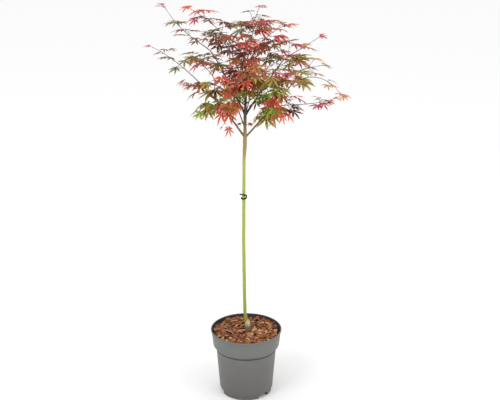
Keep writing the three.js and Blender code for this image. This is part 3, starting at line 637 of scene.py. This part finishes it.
STEM_BARK = patterned(
    "stem_bark",
    [
        (0, (138, 122, 88)), (0.05, (140, 134, 66)), (0.14, (144, 151, 57)), (0.4, (152, 166, 62)),
        (0.62, (152, 165, 62)), (0.775, (166, 167, 70)), (0.81, (155, 133, 80)), (0.9, (150, 130, 82)),
        (0.93, (110, 102, 60)), (1, (88, 74, 50)),
    ],
    0.55, 260, stretch=(1, 1, 0.3), spread=0.05, bump=0.4, along=(0.185, 0.867),
)
BOUGH_BARK = patterned(
    "bough_bark",
    [
        (0, (124, 108, 66)), (0.09, (98, 78, 52)), (0.16, (60, 43, 35)), (0.3, (52, 35, 31)),
        (0.6, (84, 54, 52)), (1, (140, 82, 84)),
    ],
    0.6, 180, stretch=(1, 1, 0.5), spread=0.08, bump=0.3, along=(0.795, 1.145),
)
FOOT_BARK = patterned(
    "foot_bark",
    [
        (0, (92, 80, 60)), (0.45, (118, 106, 82)), (0.6, (166, 156, 124)), (0.82, (190, 182, 148)),
        (1, (152, 160, 94)),
    ],
    0.7, 220, spread=0.3, bump=0.6, along=(0.188, 0.229),
)
STEM_SCAR = patterned("stem_scar", [(0.3, (168, 150, 88)), (0.7, (190, 174, 112))], 0.6, 300, bump=0.2)
TWIG_BARK = principled("twig_bark", (104, 58, 50), 0.55)
STALK_RED = principled("stalk_red", (158, 62, 58), 0.5)
# The pot's plastic with painted shade and light: its noise varies the tone, and its ramp by height makes it
# darker towards the foot and lighter towards the band
POT_PLASTIC_SHADED = patterned(
    "pot_plastic_shaded",
    [(0, (90, 88, 85)), (0.5, (96, 95, 92)), (0.85, (104, 105, 102)), (1, (100, 102, 100))],
    0.5, 26, spread=0.5, bump=0.25, along=(0.0, 0.2), depth=0.0003,
)
# Painted shade: the inside of the shell is the same plastic as the outside, darkened where it lies in shade
POT_INSIDE_SHADE = patterned("pot_inside_painted_shade", [(0.3, (36, 35, 34)), (0.7, (52, 50, 48))], 0.7, 60, bump=0.2)
# Painted shadow: a darker copy of the plastic in the crease, where the shoulder's overhang casts its shadow
POT_CREASE_SHADE = patterned("pot_crease_painted_shade", [(0.3, (58, 55, 53)), (0.7, (74, 71, 69))], 0.8, 40, bump=0.2)
TIE_PLASTIC = patterned(
    "tie_plastic", [(0.3, (5, 5, 6)), (0.7, (12, 12, 13))], 0.6, 300, bump=0.2, specular=0.2,
)
SOIL = patterned(
    "soil", [(0.3, (16, 10, 8)), (0.6, (36, 22, 15)), (0.8, (62, 40, 27))], 0.95, 170, bump=0.9, depth=0.002,
)
CHIPS = [
    patterned(f"bark_chip_{i}", [(0.3, dark), (0.7, light)], 0.9, 240, bump=0.6, depth=0.001)
    for i, (dark, light) in enumerate([
        ((92, 50, 26), (156, 94, 54)), ((126, 74, 40), (190, 124, 76)), ((58, 33, 21), (108, 64, 40)),
        ((160, 110, 66), (222, 174, 120)), ((108, 56, 32), (172, 102, 60)), ((72, 38, 24), (132, 78, 46)),
    ])
]
STRAW = principled("straw", (214, 190, 146), 0.6)
LEAF_TINTS = {
    tint: [principled(f"leaf_{tint}_{part}", rgb, 0.55, 0.2) for part, rgb in zip(("tip", "heart"), both)]
    for tint, both in TINTS.items()
}

# How a twig and a stalk are drawn: radii at the foot and the end, steps, sides and bark
TWIG = (TWIG_RADII, 5, TWIG_SIDES, TWIG_BARK)
STALK = (STALK_RADII, 3, STALK_SIDES, STALK_RED)

# Leaves and twigs


def leaf_pose(base, way, droop, roll):
    """The frame of a leaf that points one way and droops, a little rolled, as in the source."""
    level = Vector((way.x, way.y, 0)).normalized()
    forward = level * math.cos(math.radians(droop)) - UP * math.sin(math.radians(droop))
    side = turned(UP.cross(forward).normalized(), forward, roll)
    pose = Matrix((forward, side, forward.cross(side))).transposed().to_4x4()
    pose.translation = base
    return pose


def grow_leaf(build, pose, length, tint, draw):
    """A leaf of narrow toothed lobes, each folded along its rib and bowed down to its tip."""
    tip_kind, heart_kind = LEAF_TINTS[tint]
    for angle, share in LOBES:
        turn = math.radians(angle + draw(-LOBE_TURN, LOBE_TURN) * LOBE_VARIETY)
        long = length * share * (1 + draw(-1, 1) * LOBE_VARIETY)
        sag = LOBE_SAG * draw(*LOBE_SAG_VARIETY)
        twist = draw(-LOBE_TWIST, LOBE_TWIST)
        ahead = Vector((math.cos(turn), math.sin(turn), 0))
        across = Vector((-math.sin(turn), math.cos(turn), 0))

        def at(along, off):
            drop = sag * long * along * along
            lift = abs(off) * LOBE_FOLD + off * twist * along
            return pose @ (ahead * long * along + across * off * length + UP * (lift * length - drop))

        points = []
        for along, half, reach in LOBE_OUTLINE:
            points += [at(along + reach, -half), at(along, 0), at(along + reach, half)]
        points.append(at(1, 0))
        faces = []
        for i in range(len(LOBE_OUTLINE) - 1):
            a = 3 * i
            faces += [[a, a + 3, a + 4, a + 1], [a + 1, a + 4, a + 5, a + 2]]
        last, tip = 3 * (len(LOBE_OUTLINE) - 1), 3 * len(LOBE_OUTLINE)
        faces += [[last, tip, last + 1], [last + 1, tip, last + 2]]
        build.add(points, faces[:2 * HEART_STATIONS], heart_kind)
        build.add(points, faces[2 * HEART_STATIONS:], tip_kind)


class Mass:
    """One mass: its stem, its twigs and its leaves, grown by the source's rule and carried further."""

    def __init__(self, name, size, stem, seed, fits, twigs):
        self.name, self.size, self.stem, self.fits, self.twigs = name, size, stem, fits, twigs
        self.draw, self.more, self.leaves = Draw(seed), Draw(seed + MORE_SEED), Build()
        self.tints, self.grown = size["tints"].split(), 0

    def form(self, share):
        """Length, droop and roll of a leaf at a share of the stem."""
        draw, size = self.draw, self.size
        return (
            size["leaf"] * (1 - LEAF_TAPER * share) * draw(*LEAF_VARIETY),
            size["droop"] + draw(-LEAF_PITCH, LEAF_PITCH),
            draw(-LEAF_ROLL, LEAF_ROLL),
        )

    def leaf(self, form, foot, towards, stalk, tint, kind=STALK):
        """Grows the leaf at its first place that keeps to the mass's space. Returns its base, or None."""
        length, droop, roll = form
        for turn, reach, more in TRIES:
            way = turned(towards.normalized(), UP, turn)
            base = foot + way * stalk * reach
            pose = leaf_pose(base, way, droop + more, roll)
            if self.fits(base) and self.fits(pose @ Vector((HEART_SHARE * length, 0, 0))):
                grow_leaf(self.leaves, pose, length * LEAF_GROWTH, tint, self.more)
                (first, last), steps, sides, bark = kind
                points = bowed(foot, base, STALK_BOW * stalk * self.more(-0.5, 1), steps)
                radii = [first + (last - first) * i / steps for i in range(steps + 1)]
                tube(self.twigs, points, radii, sides, bark)
                return base
        return None

    def twig(self, share, foot, way, reach):
        """A twig with a leaf at its end, two at its node and the pairs that the scene adds."""
        tint = self.tints[-1 if share == 1 else self.grown]
        self.grown += 1
        base = self.leaf(self.form(share), foot, way, reach, tint, TWIG)
        level = way.cross(UP).normalized()
        turn = math.radians(STALK_SPREAD)
        for side in (-1, 1):
            away = way * math.cos(turn) + level * side * math.sin(turn) + UP * self.draw(*TILT)
            stalk, form = self.draw(*STALK_LENGTH), self.form(share)
            if base and self.more() >= self.size["open"]:
                root = foot.lerp(base, TWIG_NODE + side * TWIG_NODE_SHIFT)
                own = self.more() < OWN_TINT_SHARE
                self.leaf(form, root, away, stalk, tint if own else self.more.pick(self.tints))
        if base:
            for at, scale in MORE_TWIG_NODES[:self.size["more"]]:
                self.pair(foot.lerp(base, at), way, scale * (1 - LEAF_TAPER * share), tint)

    def pair(self, root, way, scale, tint):
        """Two more leaves at a node, opposite each other, where the mass isn't left open."""
        more, size = self.more, self.size
        level = way.cross(UP).normalized()
        for side in (-1, 1):
            if more() < size["open"]:
                continue
            turn = math.radians(MORE_SPREAD + more(-MORE_UNEVEN, MORE_UNEVEN))
            away = way * math.cos(turn) + level * side * math.sin(turn) + UP * more(*MORE_TILT)
            form = (
                size["leaf"] * scale * more(*MORE_VARIETY),
                size["droop"] + more(*MORE_PITCH),
                more(-MORE_ROLL, MORE_ROLL),
            )
            stalk, own = more(*MORE_STALK), more() < MORE_OWN_TINT_SHARE
            self.leaf(form, root, away, stalk, tint if own else more.pick(self.tints))

    def grow(self):
        """Twigs in pairs along the stem, one at its end, and the scene's pairs of leaves between them."""
        size, stem, draw, more = self.size, self.stem, self.draw, self.more
        steps = size["nodes"] + 1
        for node in range(1, steps):
            share = node / steps
            onward = tangent(stem, share)
            across = turned(
                onward.cross(UP).normalized(), onward,
                (node % 2) * CROSSED + draw(-UNEVEN, UNEVEN),
            )
            for side in (-1, 1):
                splay = math.radians(SPLAY + draw(-UNEVEN, UNEVEN))
                way = onward * math.cos(splay) + across * side * math.sin(splay) + UP * draw(*TILT)
                reach = size["twig"] * (1 - TWIG_TAPER * share) * draw(*TWIG_VARIETY)
                if not size["bare"][0] < share < size["bare"][1]:
                    self.twig(share, stem(share), way.normalized(), reach)
        onward = tangent(stem, 1)
        self.twig(1, stem(1) - onward * STEM_RADIUS, onward, draw(*STALK_LENGTH))
        for node in range(steps if size["more"] else 0):
            share = (node + 0.5) / steps
            if not size["bare"][0] < share < size["bare"][1]:
                scale = MORE_STEM_SCALE * (1 - LEAF_TAPER * share)
                self.pair(stem(share), tangent(stem, share), scale, more.pick(self.tints))
        self.leaves.piece("leaves_" + self.name, "foliage", self.name, smooth=False)


# Limbs


def trunk_curve(share):
    """The middle of the trunk at a share of its height."""
    height = share * TRUNK_HEIGHT
    return Vector((between(TRUNK_AXIS, height, 1), between(TRUNK_AXIS, height, 2), height))


def limb_curves():
    """The middle of the trunk and of each limb, as functions from share to point."""
    curves = {"trunk": trunk_curve}
    for name, (host, at, end, bow, _, _) in LIMBS.items():
        start, last = curves[host](at), Vector(end)
        curves[name] = bezier(start, start.lerp(last, 0.5) + UP * 2 * bow, last)
    return curves


def smooth_radius(height):
    """The trunk's radius, with the corners of its listed radii eased."""
    return sum(between(TRUNK_RADII, height + d, 1) for d in (-RADIUS_EASE, 0, RADIUS_EASE)) / 3


def smooth_axis(share):
    """The middle of the trunk, with the corners of its listed axis eased."""
    shares = [min(1, max(0, share + d)) for d in (-AXIS_EASE, 0, AXIS_EASE)]
    return sum((trunk_curve(s) for s in shares), Vector()) / 3


def trunk():
    """The bark of the trunk, with a swelling and a scar at each node, and the burl at its foot."""
    build = Build()
    shares = [i / TRUNK_RINGS for i in range(TRUNK_RINGS + 1)]
    points = [trunk_curve(0), *(smooth_axis(share) for share in shares[1:-1]), trunk_curve(1)]
    radii = []
    for share in shares:
        height = share * TRUNK_HEIGHT
        swell = NODE_SWELL * sum(math.exp(-(((height - level) / NODE_LENGTH) ** 2)) for level in STEM_NODES)
        radii.append(smooth_radius(height) + BARK + swell)
    tube(build, points, radii, TRUNK_SIDES, STEM_BARK, relief=0.12)
    foot = trunk_curve(0) + BURL_SHIFT
    burl = [foot + Vector((BURL_LEAN * height, 0, height)) for height, _ in BURL]
    tube(build, burl, [wide for _, wide in BURL], BURL_SIDES, FOOT_BARK, relief=0.35)
    for level in STEM_NODES:
        ring = [trunk_curve((level + d) / TRUNK_HEIGHT) for d, _ in SCAR]
        wide = smooth_radius(level) + BARK + SCAR_RISE
        tube(build, ring, [wide + more for _, more in SCAR], TRUNK_SIDES, STEM_SCAR, relief=0.1)
    build.piece("trunk_bark", "stem", "trunk")


def boughs(curves):
    """The bark of all the limbs, each with a collar where it leaves its host."""
    build = Build()
    shares = [i / LIMB_RINGS for i in range(LIMB_RINGS + 1)]
    for name, (_, _, _, _, butt, tip) in LIMBS.items():
        points = [curves[name](share) for share in shares]
        long = (points[-1] - points[0]).length
        radii = [
            (butt + share * (tip - butt)) * (1 + COLLAR_SWELL * math.exp(-share * long / COLLAR_LENGTH))
            for share in shares
        ]
        tube(build, points, radii, LIMB_SIDES, BOUGH_BARK, relief=0.22)
    build.piece("bough_bark", "bough", *LIMBS)


def stem_curve(size, limb):
    """The stem of a mass, which goes on from its limb's tip and bends to the mass's end."""
    onward = tangent(limb, 1)
    start = limb(1) + onward * GAP
    last = Vector(size["end"])
    lead = start + onward * STEM_LEAD * (last - start).length
    bend = start.lerp(last, STEM_BEND) + UP * 2 * size["bow"]
    return bezier(start, lead, bend, last)


def fitter(name, reach, stems):
    """Whether a point is within reach of its own stem and nearer to it than to any other stem."""

    def away(point, samples):
        return min((sample - point).length for sample in samples)

    def fits(point):
        own = away(point, stems[name])
        return own <= reach and all(
            other == name or away(point, samples) > own for other, samples in stems.items()
        )

    return fits


def trunk_shoots(leaves, twigs, draw):
    """The young shoots between the forks."""
    for height, way, long in SHOOTS:
        foot, way = trunk_curve(height / TRUNK_HEIGHT), Vector(way)
        end = foot + way.normalized() * long
        tube(twigs, bowed(foot, end, lift=1.5), SHOOT_RADII, SHOOT_SIDES, STALK_RED)
        for i in range(SHOOT_LEAVES):
            towards = turned(way, UP, (i - (SHOOT_LEAVES - 1) / 2) * SHOOT_FAN)
            pose = leaf_pose(end, towards, draw(*SHOOT_DROOP), draw(-SHOOT_ROLL, SHOOT_ROLL))
            grow_leaf(leaves, pose, draw(*SHOOT_LEAF), "brown" if i % 2 else "red", draw)


def hanging_leaves(leaves, twigs, draw):
    """The two leaves that hang below the crown."""
    tube(twigs, bowed(HANGING_ROOT, HANGING_JOINT, lift=3), HANGING_RADII, TWIG_SIDES, STALK_RED)
    for base, towards, droop, long, tint in HANGING:
        base, towards = Vector(base), Vector(towards)
        tube(twigs, bowed(HANGING_JOINT, base, lift=1), HANGING_STALK_RADII, TWIG_SIDES, STALK_RED)
        grow_leaf(leaves, leaf_pose(base, towards, droop, HANGING_ROLL), long, tint, draw)


def spurs(curves, leaves, twigs, draw):
    """The short leafy spurs about the fork."""
    for host, share, way, long, tint in SPURS:
        foot, way = curves[host](share), Vector(way).normalized()
        tube(twigs, bowed(foot, foot + way * long, lift=2), SPUR_RADII, TWIG_SIDES, TWIG_BARK)
        for turn, part in SPUR_LEAVES:
            towards = turned(way, UP, turn + draw(-UNEVEN, UNEVEN))
            start = foot + way * long * part
            base = start + towards * draw(*SPUR_STALK)
            tube(twigs, bowed(start, base, lift=0.5), SPUR_STALK_RADII, TWIG_SIDES, STALK_RED)
            pose = leaf_pose(base, towards, draw(*SPUR_DROOP), draw(-LEAF_ROLL, LEAF_ROLL))
            grow_leaf(leaves, pose, draw(*SPUR_LEAF), tint, draw)


def plant():
    """The limbs, each mass on its limb, and the small growth about the fork."""
    curves = limb_curves()
    boughs(curves)
    twigs = Build()
    sizes = {name: {**USUAL, **own} for name, own in MASSES.items()}
    stem_curves = {name: stem_curve(size, curves[size["limb"]]) for name, size in sizes.items()}
    stems = {
        name: [curve(i / SPACE_SAMPLES) for i in range(SPACE_SAMPLES + 1)]
        for name, curve in stem_curves.items()
    }
    shares = [k / STEM_RINGS for k in range(STEM_RINGS + 1)]
    for i, (name, size) in enumerate(sizes.items()):
        stem = stem_curves[name]
        first = LIMBS[size["limb"]][5]
        radii = [first + (STEM_END_RADIUS - first) * share for share in shares]
        tube(twigs, [stem(share) for share in shares], radii, STEM_SIDES, BOUGH_BARK, relief=0.2)
        seed = SEED_START + i * SEED_STEP
        Mass(name, size, stem, seed, fitter(name, size["reach"], stems), twigs).grow()
    leaves, draw = Build(), Draw(SHOOT_SEED)
    trunk_shoots(leaves, twigs, draw)
    hanging_leaves(leaves, twigs, draw)
    spurs(curves, leaves, twigs, draw)
    leaves.piece("leaves_trunk_shoots", "foliage", smooth=False)
    twigs.piece("twigs", "bough")


# Pot, filling and tie


def lathe(build, profile, segments, material):
    """A closed turned surface from (radius, height) pairs that start and end on the axis."""
    inner = profile[1:-1]
    points = [Vector((0, 0, profile[0][1])), Vector((0, 0, profile[-1][1]))]
    for radius, height in inner:
        for k in range(segments):
            turn = 2 * math.pi * k / segments
            points.append(Vector((radius * math.cos(turn), radius * math.sin(turn), height)))
    faces = []
    last = 2 + (len(inner) - 1) * segments
    for k in range(segments):
        after = (k + 1) % segments
        faces.append([0, 2 + after, 2 + k])
        faces.append([1, last + k, last + after])
        for i in range(len(inner) - 1):
            a, b = 2 + i * segments, 2 + (i + 1) * segments
            faces.append([a + k, a + after, b + after, b + k])
    build.add(points, faces, material)


def rounded(profile):
    """The profile with each inner corner cut into a small arc."""
    out = [profile[0]]
    for before, here, after in zip(profile, profile[1:], profile[2:]):
        corner = Vector(here)
        a, b = Vector(before) - corner, Vector(after) - corner
        reach = min(EDGE_RADIUS, a.length / 3, b.length / 3)
        start, end = corner + a.normalized() * reach, corner + b.normalized() * reach
        for i in range(EDGE_STEPS + 1):
            t = i / EDGE_STEPS
            out.append(tuple(start.lerp(corner, t).lerp(corner.lerp(end, t), t)))
    return out + [profile[-1]]


def pot():
    """The shell, turned, with its notches and drain holes cut out."""
    band_bottom = POT_HEIGHT - BAND_HEIGHT
    shoulder_bottom = band_bottom - SHOULDER_HEIGHT
    body_bottom = FOOT_HEIGHT + FOOT_TAPER
    rim_bottom = POT_HEIGHT - RIM_HEIGHT
    neck = RIM_RADIUS - RIM_STEP
    creased = SHOULDER_RADIUS - 2 * CREASE
    outside = [
        (0, 0), (FOOT_RADIUS, 0), (FOOT_RADIUS, FOOT_HEIGHT), (BODY_FOOT_RADIUS, body_bottom),
        (SHOULDER_RADIUS - WALL_EASE, shoulder_bottom - CREASE_REACH),
        (creased, shoulder_bottom - CREASE), (creased, shoulder_bottom),
        (SHOULDER_RADIUS + CREASE_LIP, shoulder_bottom + CREASE_LIP), (BAND_FOOT_RADIUS, band_bottom),
        (neck - WALL_EASE, rim_bottom - CREASE), (neck - CREASE, rim_bottom),
        (RIM_RADIUS, rim_bottom + RIM_LIP), (RIM_RADIUS, POT_HEIGHT),
    ]
    inside = [
        (neck - POT_WALL, POT_HEIGHT), (BAND_FOOT_RADIUS - POT_WALL, band_bottom),
        (SHOULDER_RADIUS - POT_WALL, shoulder_bottom), (BODY_FOOT_RADIUS - POT_WALL, body_bottom),
        (FOOT_RADIUS - POT_WALL, FOOT_HEIGHT), (FOOT_RADIUS - POT_WALL, POT_FLOOR), (0, POT_FLOOR),
    ]
    build = Build(Vector())
    lathe(build, rounded(outside + inside), POT_SEGMENTS, POT_PLASTIC_SHADED)
    obj = build.piece("pot_shell", "pot", "pot")
    for i in range(NOTCHES):
        turn = math.radians(NOTCH_AZIMUTH + 360 * i / NOTCHES)
        bpy.ops.mesh.primitive_cube_add(size=1, rotation=(0, 0, turn))
        block = bpy.context.object
        reach = FOOT_RADIUS - NOTCH_DEPTH + NOTCH_BLOCK_LENGTH / 2
        block.location = Vector((math.cos(turn), math.sin(turn), 0)) * reach * MM
        block.location.z = (NOTCH_HEIGHT - NOTCH_BLOCK_BELOW) / 2 * MM
        block.scale = (
            NOTCH_BLOCK_LENGTH * MM, NOTCH_WIDTH * MM, (NOTCH_HEIGHT + NOTCH_BLOCK_BELOW) * MM,
        )
        cut(obj, block)
    for i in range(DRAIN_HOLES):
        turn = 2 * math.pi * (i + 0.5) / DRAIN_HOLES
        spot = Vector((math.cos(turn), math.sin(turn), 0)) * DRAIN_CIRCLE * MM
        bpy.ops.mesh.primitive_cylinder_add(
            vertices=DRAIN_SIDES, radius=DRAIN_RADIUS * MM, depth=DRAIN_CUT * MM, location=spot,
        )
        cut(obj, bpy.context.object)
    deal_pot_materials(obj, shoulder_bottom)


def deal_pot_materials(obj, shoulder_bottom):
    """Paints shade with darker materials on the inside of the shell and in the crease under its shoulder."""
    obj.data.materials.append(POT_INSIDE_SHADE)
    obj.data.materials.append(POT_CREASE_SHADE)
    for face in obj.data.polygons:
        level = face.center.z / MM
        if level > FOOT_HEIGHT and face.normal.x * face.center.x + face.normal.y * face.center.y < 0:
            # inward faces above the foot get the painted shade of the inside
            face.material_index = 1
        # faces in the crease under the shoulder get the painted shadow
        elif -CREASE_REACH < level - shoulder_bottom < CREASE_SHADE_TOP:
            face.material_index = 2


def cut(obj, tool):
    """obj less the tool's solid, which is then thrown away."""
    modifier = obj.modifiers.new("cut", "BOOLEAN")
    modifier.object, modifier.operation, modifier.solver = tool, "DIFFERENCE", "EXACT"
    with bpy.context.temp_override(object=obj, active_object=obj, selected_objects=[obj]):
        bpy.ops.object.modifier_apply(modifier=modifier.name)
    bpy.data.objects.remove(tool)


def mulch_level(away):
    """The height of the mulch at a distance from the axis: heaped round a hollow at the stem."""
    share = min(1, max(0, (away - HOLLOW_RADIUS) / (HOLLOW_RIM - HOLLOW_RADIUS)))
    return GROUND_LEVEL + (MULCH_LEVEL - GROUND_LEVEL) * share


def soil():
    """The rough top of the soil."""
    wall = BAND_FOOT_RADIUS - POT_WALL - GAP + SOIL_TUCK
    build = Build(Vector())
    points = [Vector((0, 0, GROUND_LEVEL - SOIL_SINK))]
    for i in range(1, SOIL_RINGS + 1):
        for k in range(SOIL_SEGMENTS):
            turn, away = 2 * math.pi * k / SOIL_SEGMENTS, wall * i / SOIL_RINGS
            spot = Vector((away * math.cos(turn), away * math.sin(turn), 0))
            rough = sum(height * noise.noise(spot * scale) for scale, height in SOIL_LUMPS)
            points.append(spot + UP * (mulch_level(away) - SOIL_SINK + rough))
    faces = [[0, 1 + k, 1 + (k + 1) % SOIL_SEGMENTS] for k in range(SOIL_SEGMENTS)]
    for i in range(SOIL_RINGS - 1):
        for k in range(SOIL_SEGMENTS):
            a, after = 1 + i * SOIL_SEGMENTS, (k + 1) % SOIL_SEGMENTS
            faces.append([a + k, a + SOIL_SEGMENTS + k, a + SOIL_SEGMENTS + after, a + after])
    build.add(points, faces, SOIL)
    build.piece("potting_soil", "bark_mulch", "filling")


def bark_chips():
    """Bark chips strewn over the soil by the golden angle, and a piece of straw."""
    build, draw = Build(Vector()), Draw(CHIP_SEED)
    for i in range(CHIP_COUNT):
        away = math.sqrt(draw(CHIP_MIDDLE, 1)) * CHIP_SPREAD
        turn = i * math.pi * (3 - math.sqrt(5))
        long, wide, thick = draw(*CHIP_LENGTH), draw(*CHIP_WIDTH), draw(*CHIP_THICKNESS)
        away = min(away, CHIP_EDGE - long / 2)
        centre = Vector((away * math.cos(turn), away * math.sin(turn), mulch_level(away) + draw(*CHIP_LIFT)))
        pose = (
            Matrix.Translation(centre)
            @ Matrix.Rotation(draw(0, 2 * math.pi), 4, "Z")
            @ Matrix.Rotation(draw(-CHIP_ROLL, CHIP_ROLL), 4, "X")
            @ Matrix.Rotation(draw(-CHIP_PITCH, CHIP_PITCH), 4, "Y")
        )
        chip(build, pose, long, wide, thick, draw.pick(CHIPS), draw)
    start, end = (Vector((x, y, MULCH_LEVEL + STRAW_LIFT)) for x, y in STRAW_ENDS)
    points = bowed(start, end, STRAW_BOW, STRAW_STEPS)
    tube(build, points, [STRAW_RADIUS] * len(points), STRAW_SIDES, STRAW)
    build.piece("bark_chips", "bark_mulch", smooth=False)


def chip(build, pose, long, wide, thick, material, draw):
    """A split chip of bark: uneven sections with blunt, ragged ends."""
    points = []
    for along in CHIP_STATIONS:
        end = CHIP_BLUNT if along in (CHIP_STATIONS[0], CHIP_STATIONS[-1]) else 1
        half, deep = wide / 2 * end * draw(*CHIP_ACROSS), thick / 2 * end * draw(*CHIP_DEEP)
        x, y = along * long + draw(-CHIP_SHIFT, CHIP_SHIFT), draw(-CHIP_SHIFT, CHIP_SHIFT)
        bend = thick * 0.5 * math.cos(along * CHIP_BEND)
        for across, rise in CHIP_SECTION:
            points.append(pose @ Vector((x, y + across * half, bend + rise * deep)))
    count = len(CHIP_SECTION)
    last = len(points) - 1
    faces = [list(range(count)), list(range(last, last - count, -1))]
    for i in range(len(CHIP_STATIONS) - 1):
        for k in range(count):
            a, b = count * i + k, count * i + (k + 1) % count
            faces.append([a, a + count, b + count, b])
    build.add(points, faces, material)


def tie():
    """The strip bent round the stem, with a short tail."""
    middle = trunk_curve(TIE_HEIGHT / TRUNK_HEIGHT)
    away = smooth_radius(TIE_HEIGHT) + GAP + TIE_RADIUS
    turns = []
    for angle, lift, stretch in TIE_TURNS:
        turn = math.radians(angle)
        turns.append(middle + Vector((
            away * stretch * math.cos(turn), away * stretch * math.sin(turn), lift * TIE_SPAN,
        )))
    turns.insert(0, turns[0] + Vector((-TIE_TAIL, TIE_TAIL / 2, 1)))
    points = through(turns, TIE_STEPS)
    build = Build()
    tube(build, points, [TIE_RADIUS] * len(points), TIE_SIDES, TIE_PLASTIC)
    build.piece("stem_tie", "tie", "tie")


pot()
soil()
bark_chips()
trunk()
tie()
plant()

# Floor, light and camera. The camera looks along +Y, pitched down, a little right of the pot's axis.
FLOOR_SIZE = 40
LIGHT_TARGET = Vector((0, 0, 0.7))
CAMERA_PLACE = (0.0113, -2.696, 1.515)
CAMERA_PITCH = 18.7
CAMERA_LENS = 72
CAMERA_SENSOR = 36

bpy.ops.mesh.primitive_plane_add(size=FLOOR_SIZE)
floor = bpy.context.object
floor.name = "floor"
floor.data.materials.append(principled("pale_floor", (250, 250, 250), 0.9, 0.0))

world = bpy.data.worlds.new("studio")
bpy.context.scene.world = world
world.use_nodes = True
world.node_tree.nodes["Background"].inputs["Color"].default_value = (1, 1, 1, 1)
world.node_tree.nodes["Background"].inputs["Strength"].default_value = 1.0


def softbox(name, place, size, power):
    """A soft rectangular light that faces the plant."""
    light = bpy.data.lights.new(name, "AREA")
    light.shape, light.size, light.size_y, light.energy = "RECTANGLE", *size, power
    obj = bpy.data.objects.new(name, light)
    obj.location = place
    obj.rotation_euler = (LIGHT_TARGET - Vector(place)).to_track_quat("-Z", "Y").to_euler()
    bpy.context.scene.collection.objects.link(obj)


softbox("key", (-2.2, -2.4, 3.2), (2.0, 2.0), 46)
softbox("fill", (2.8, -1.8, 1.6), (1.6, 2.4), 22)

camera_data = bpy.data.cameras.new("camera")
camera_data.lens = CAMERA_LENS
camera_data.sensor_width = CAMERA_SENSOR
camera = bpy.data.objects.new("camera", camera_data)
camera.location = CAMERA_PLACE
camera.rotation_euler = (math.radians(90 - CAMERA_PITCH), 0, 0)
bpy.context.scene.collection.objects.link(camera)
bpy.context.scene.camera = camera
bpy.context.scene.view_settings.view_transform = "Standard"
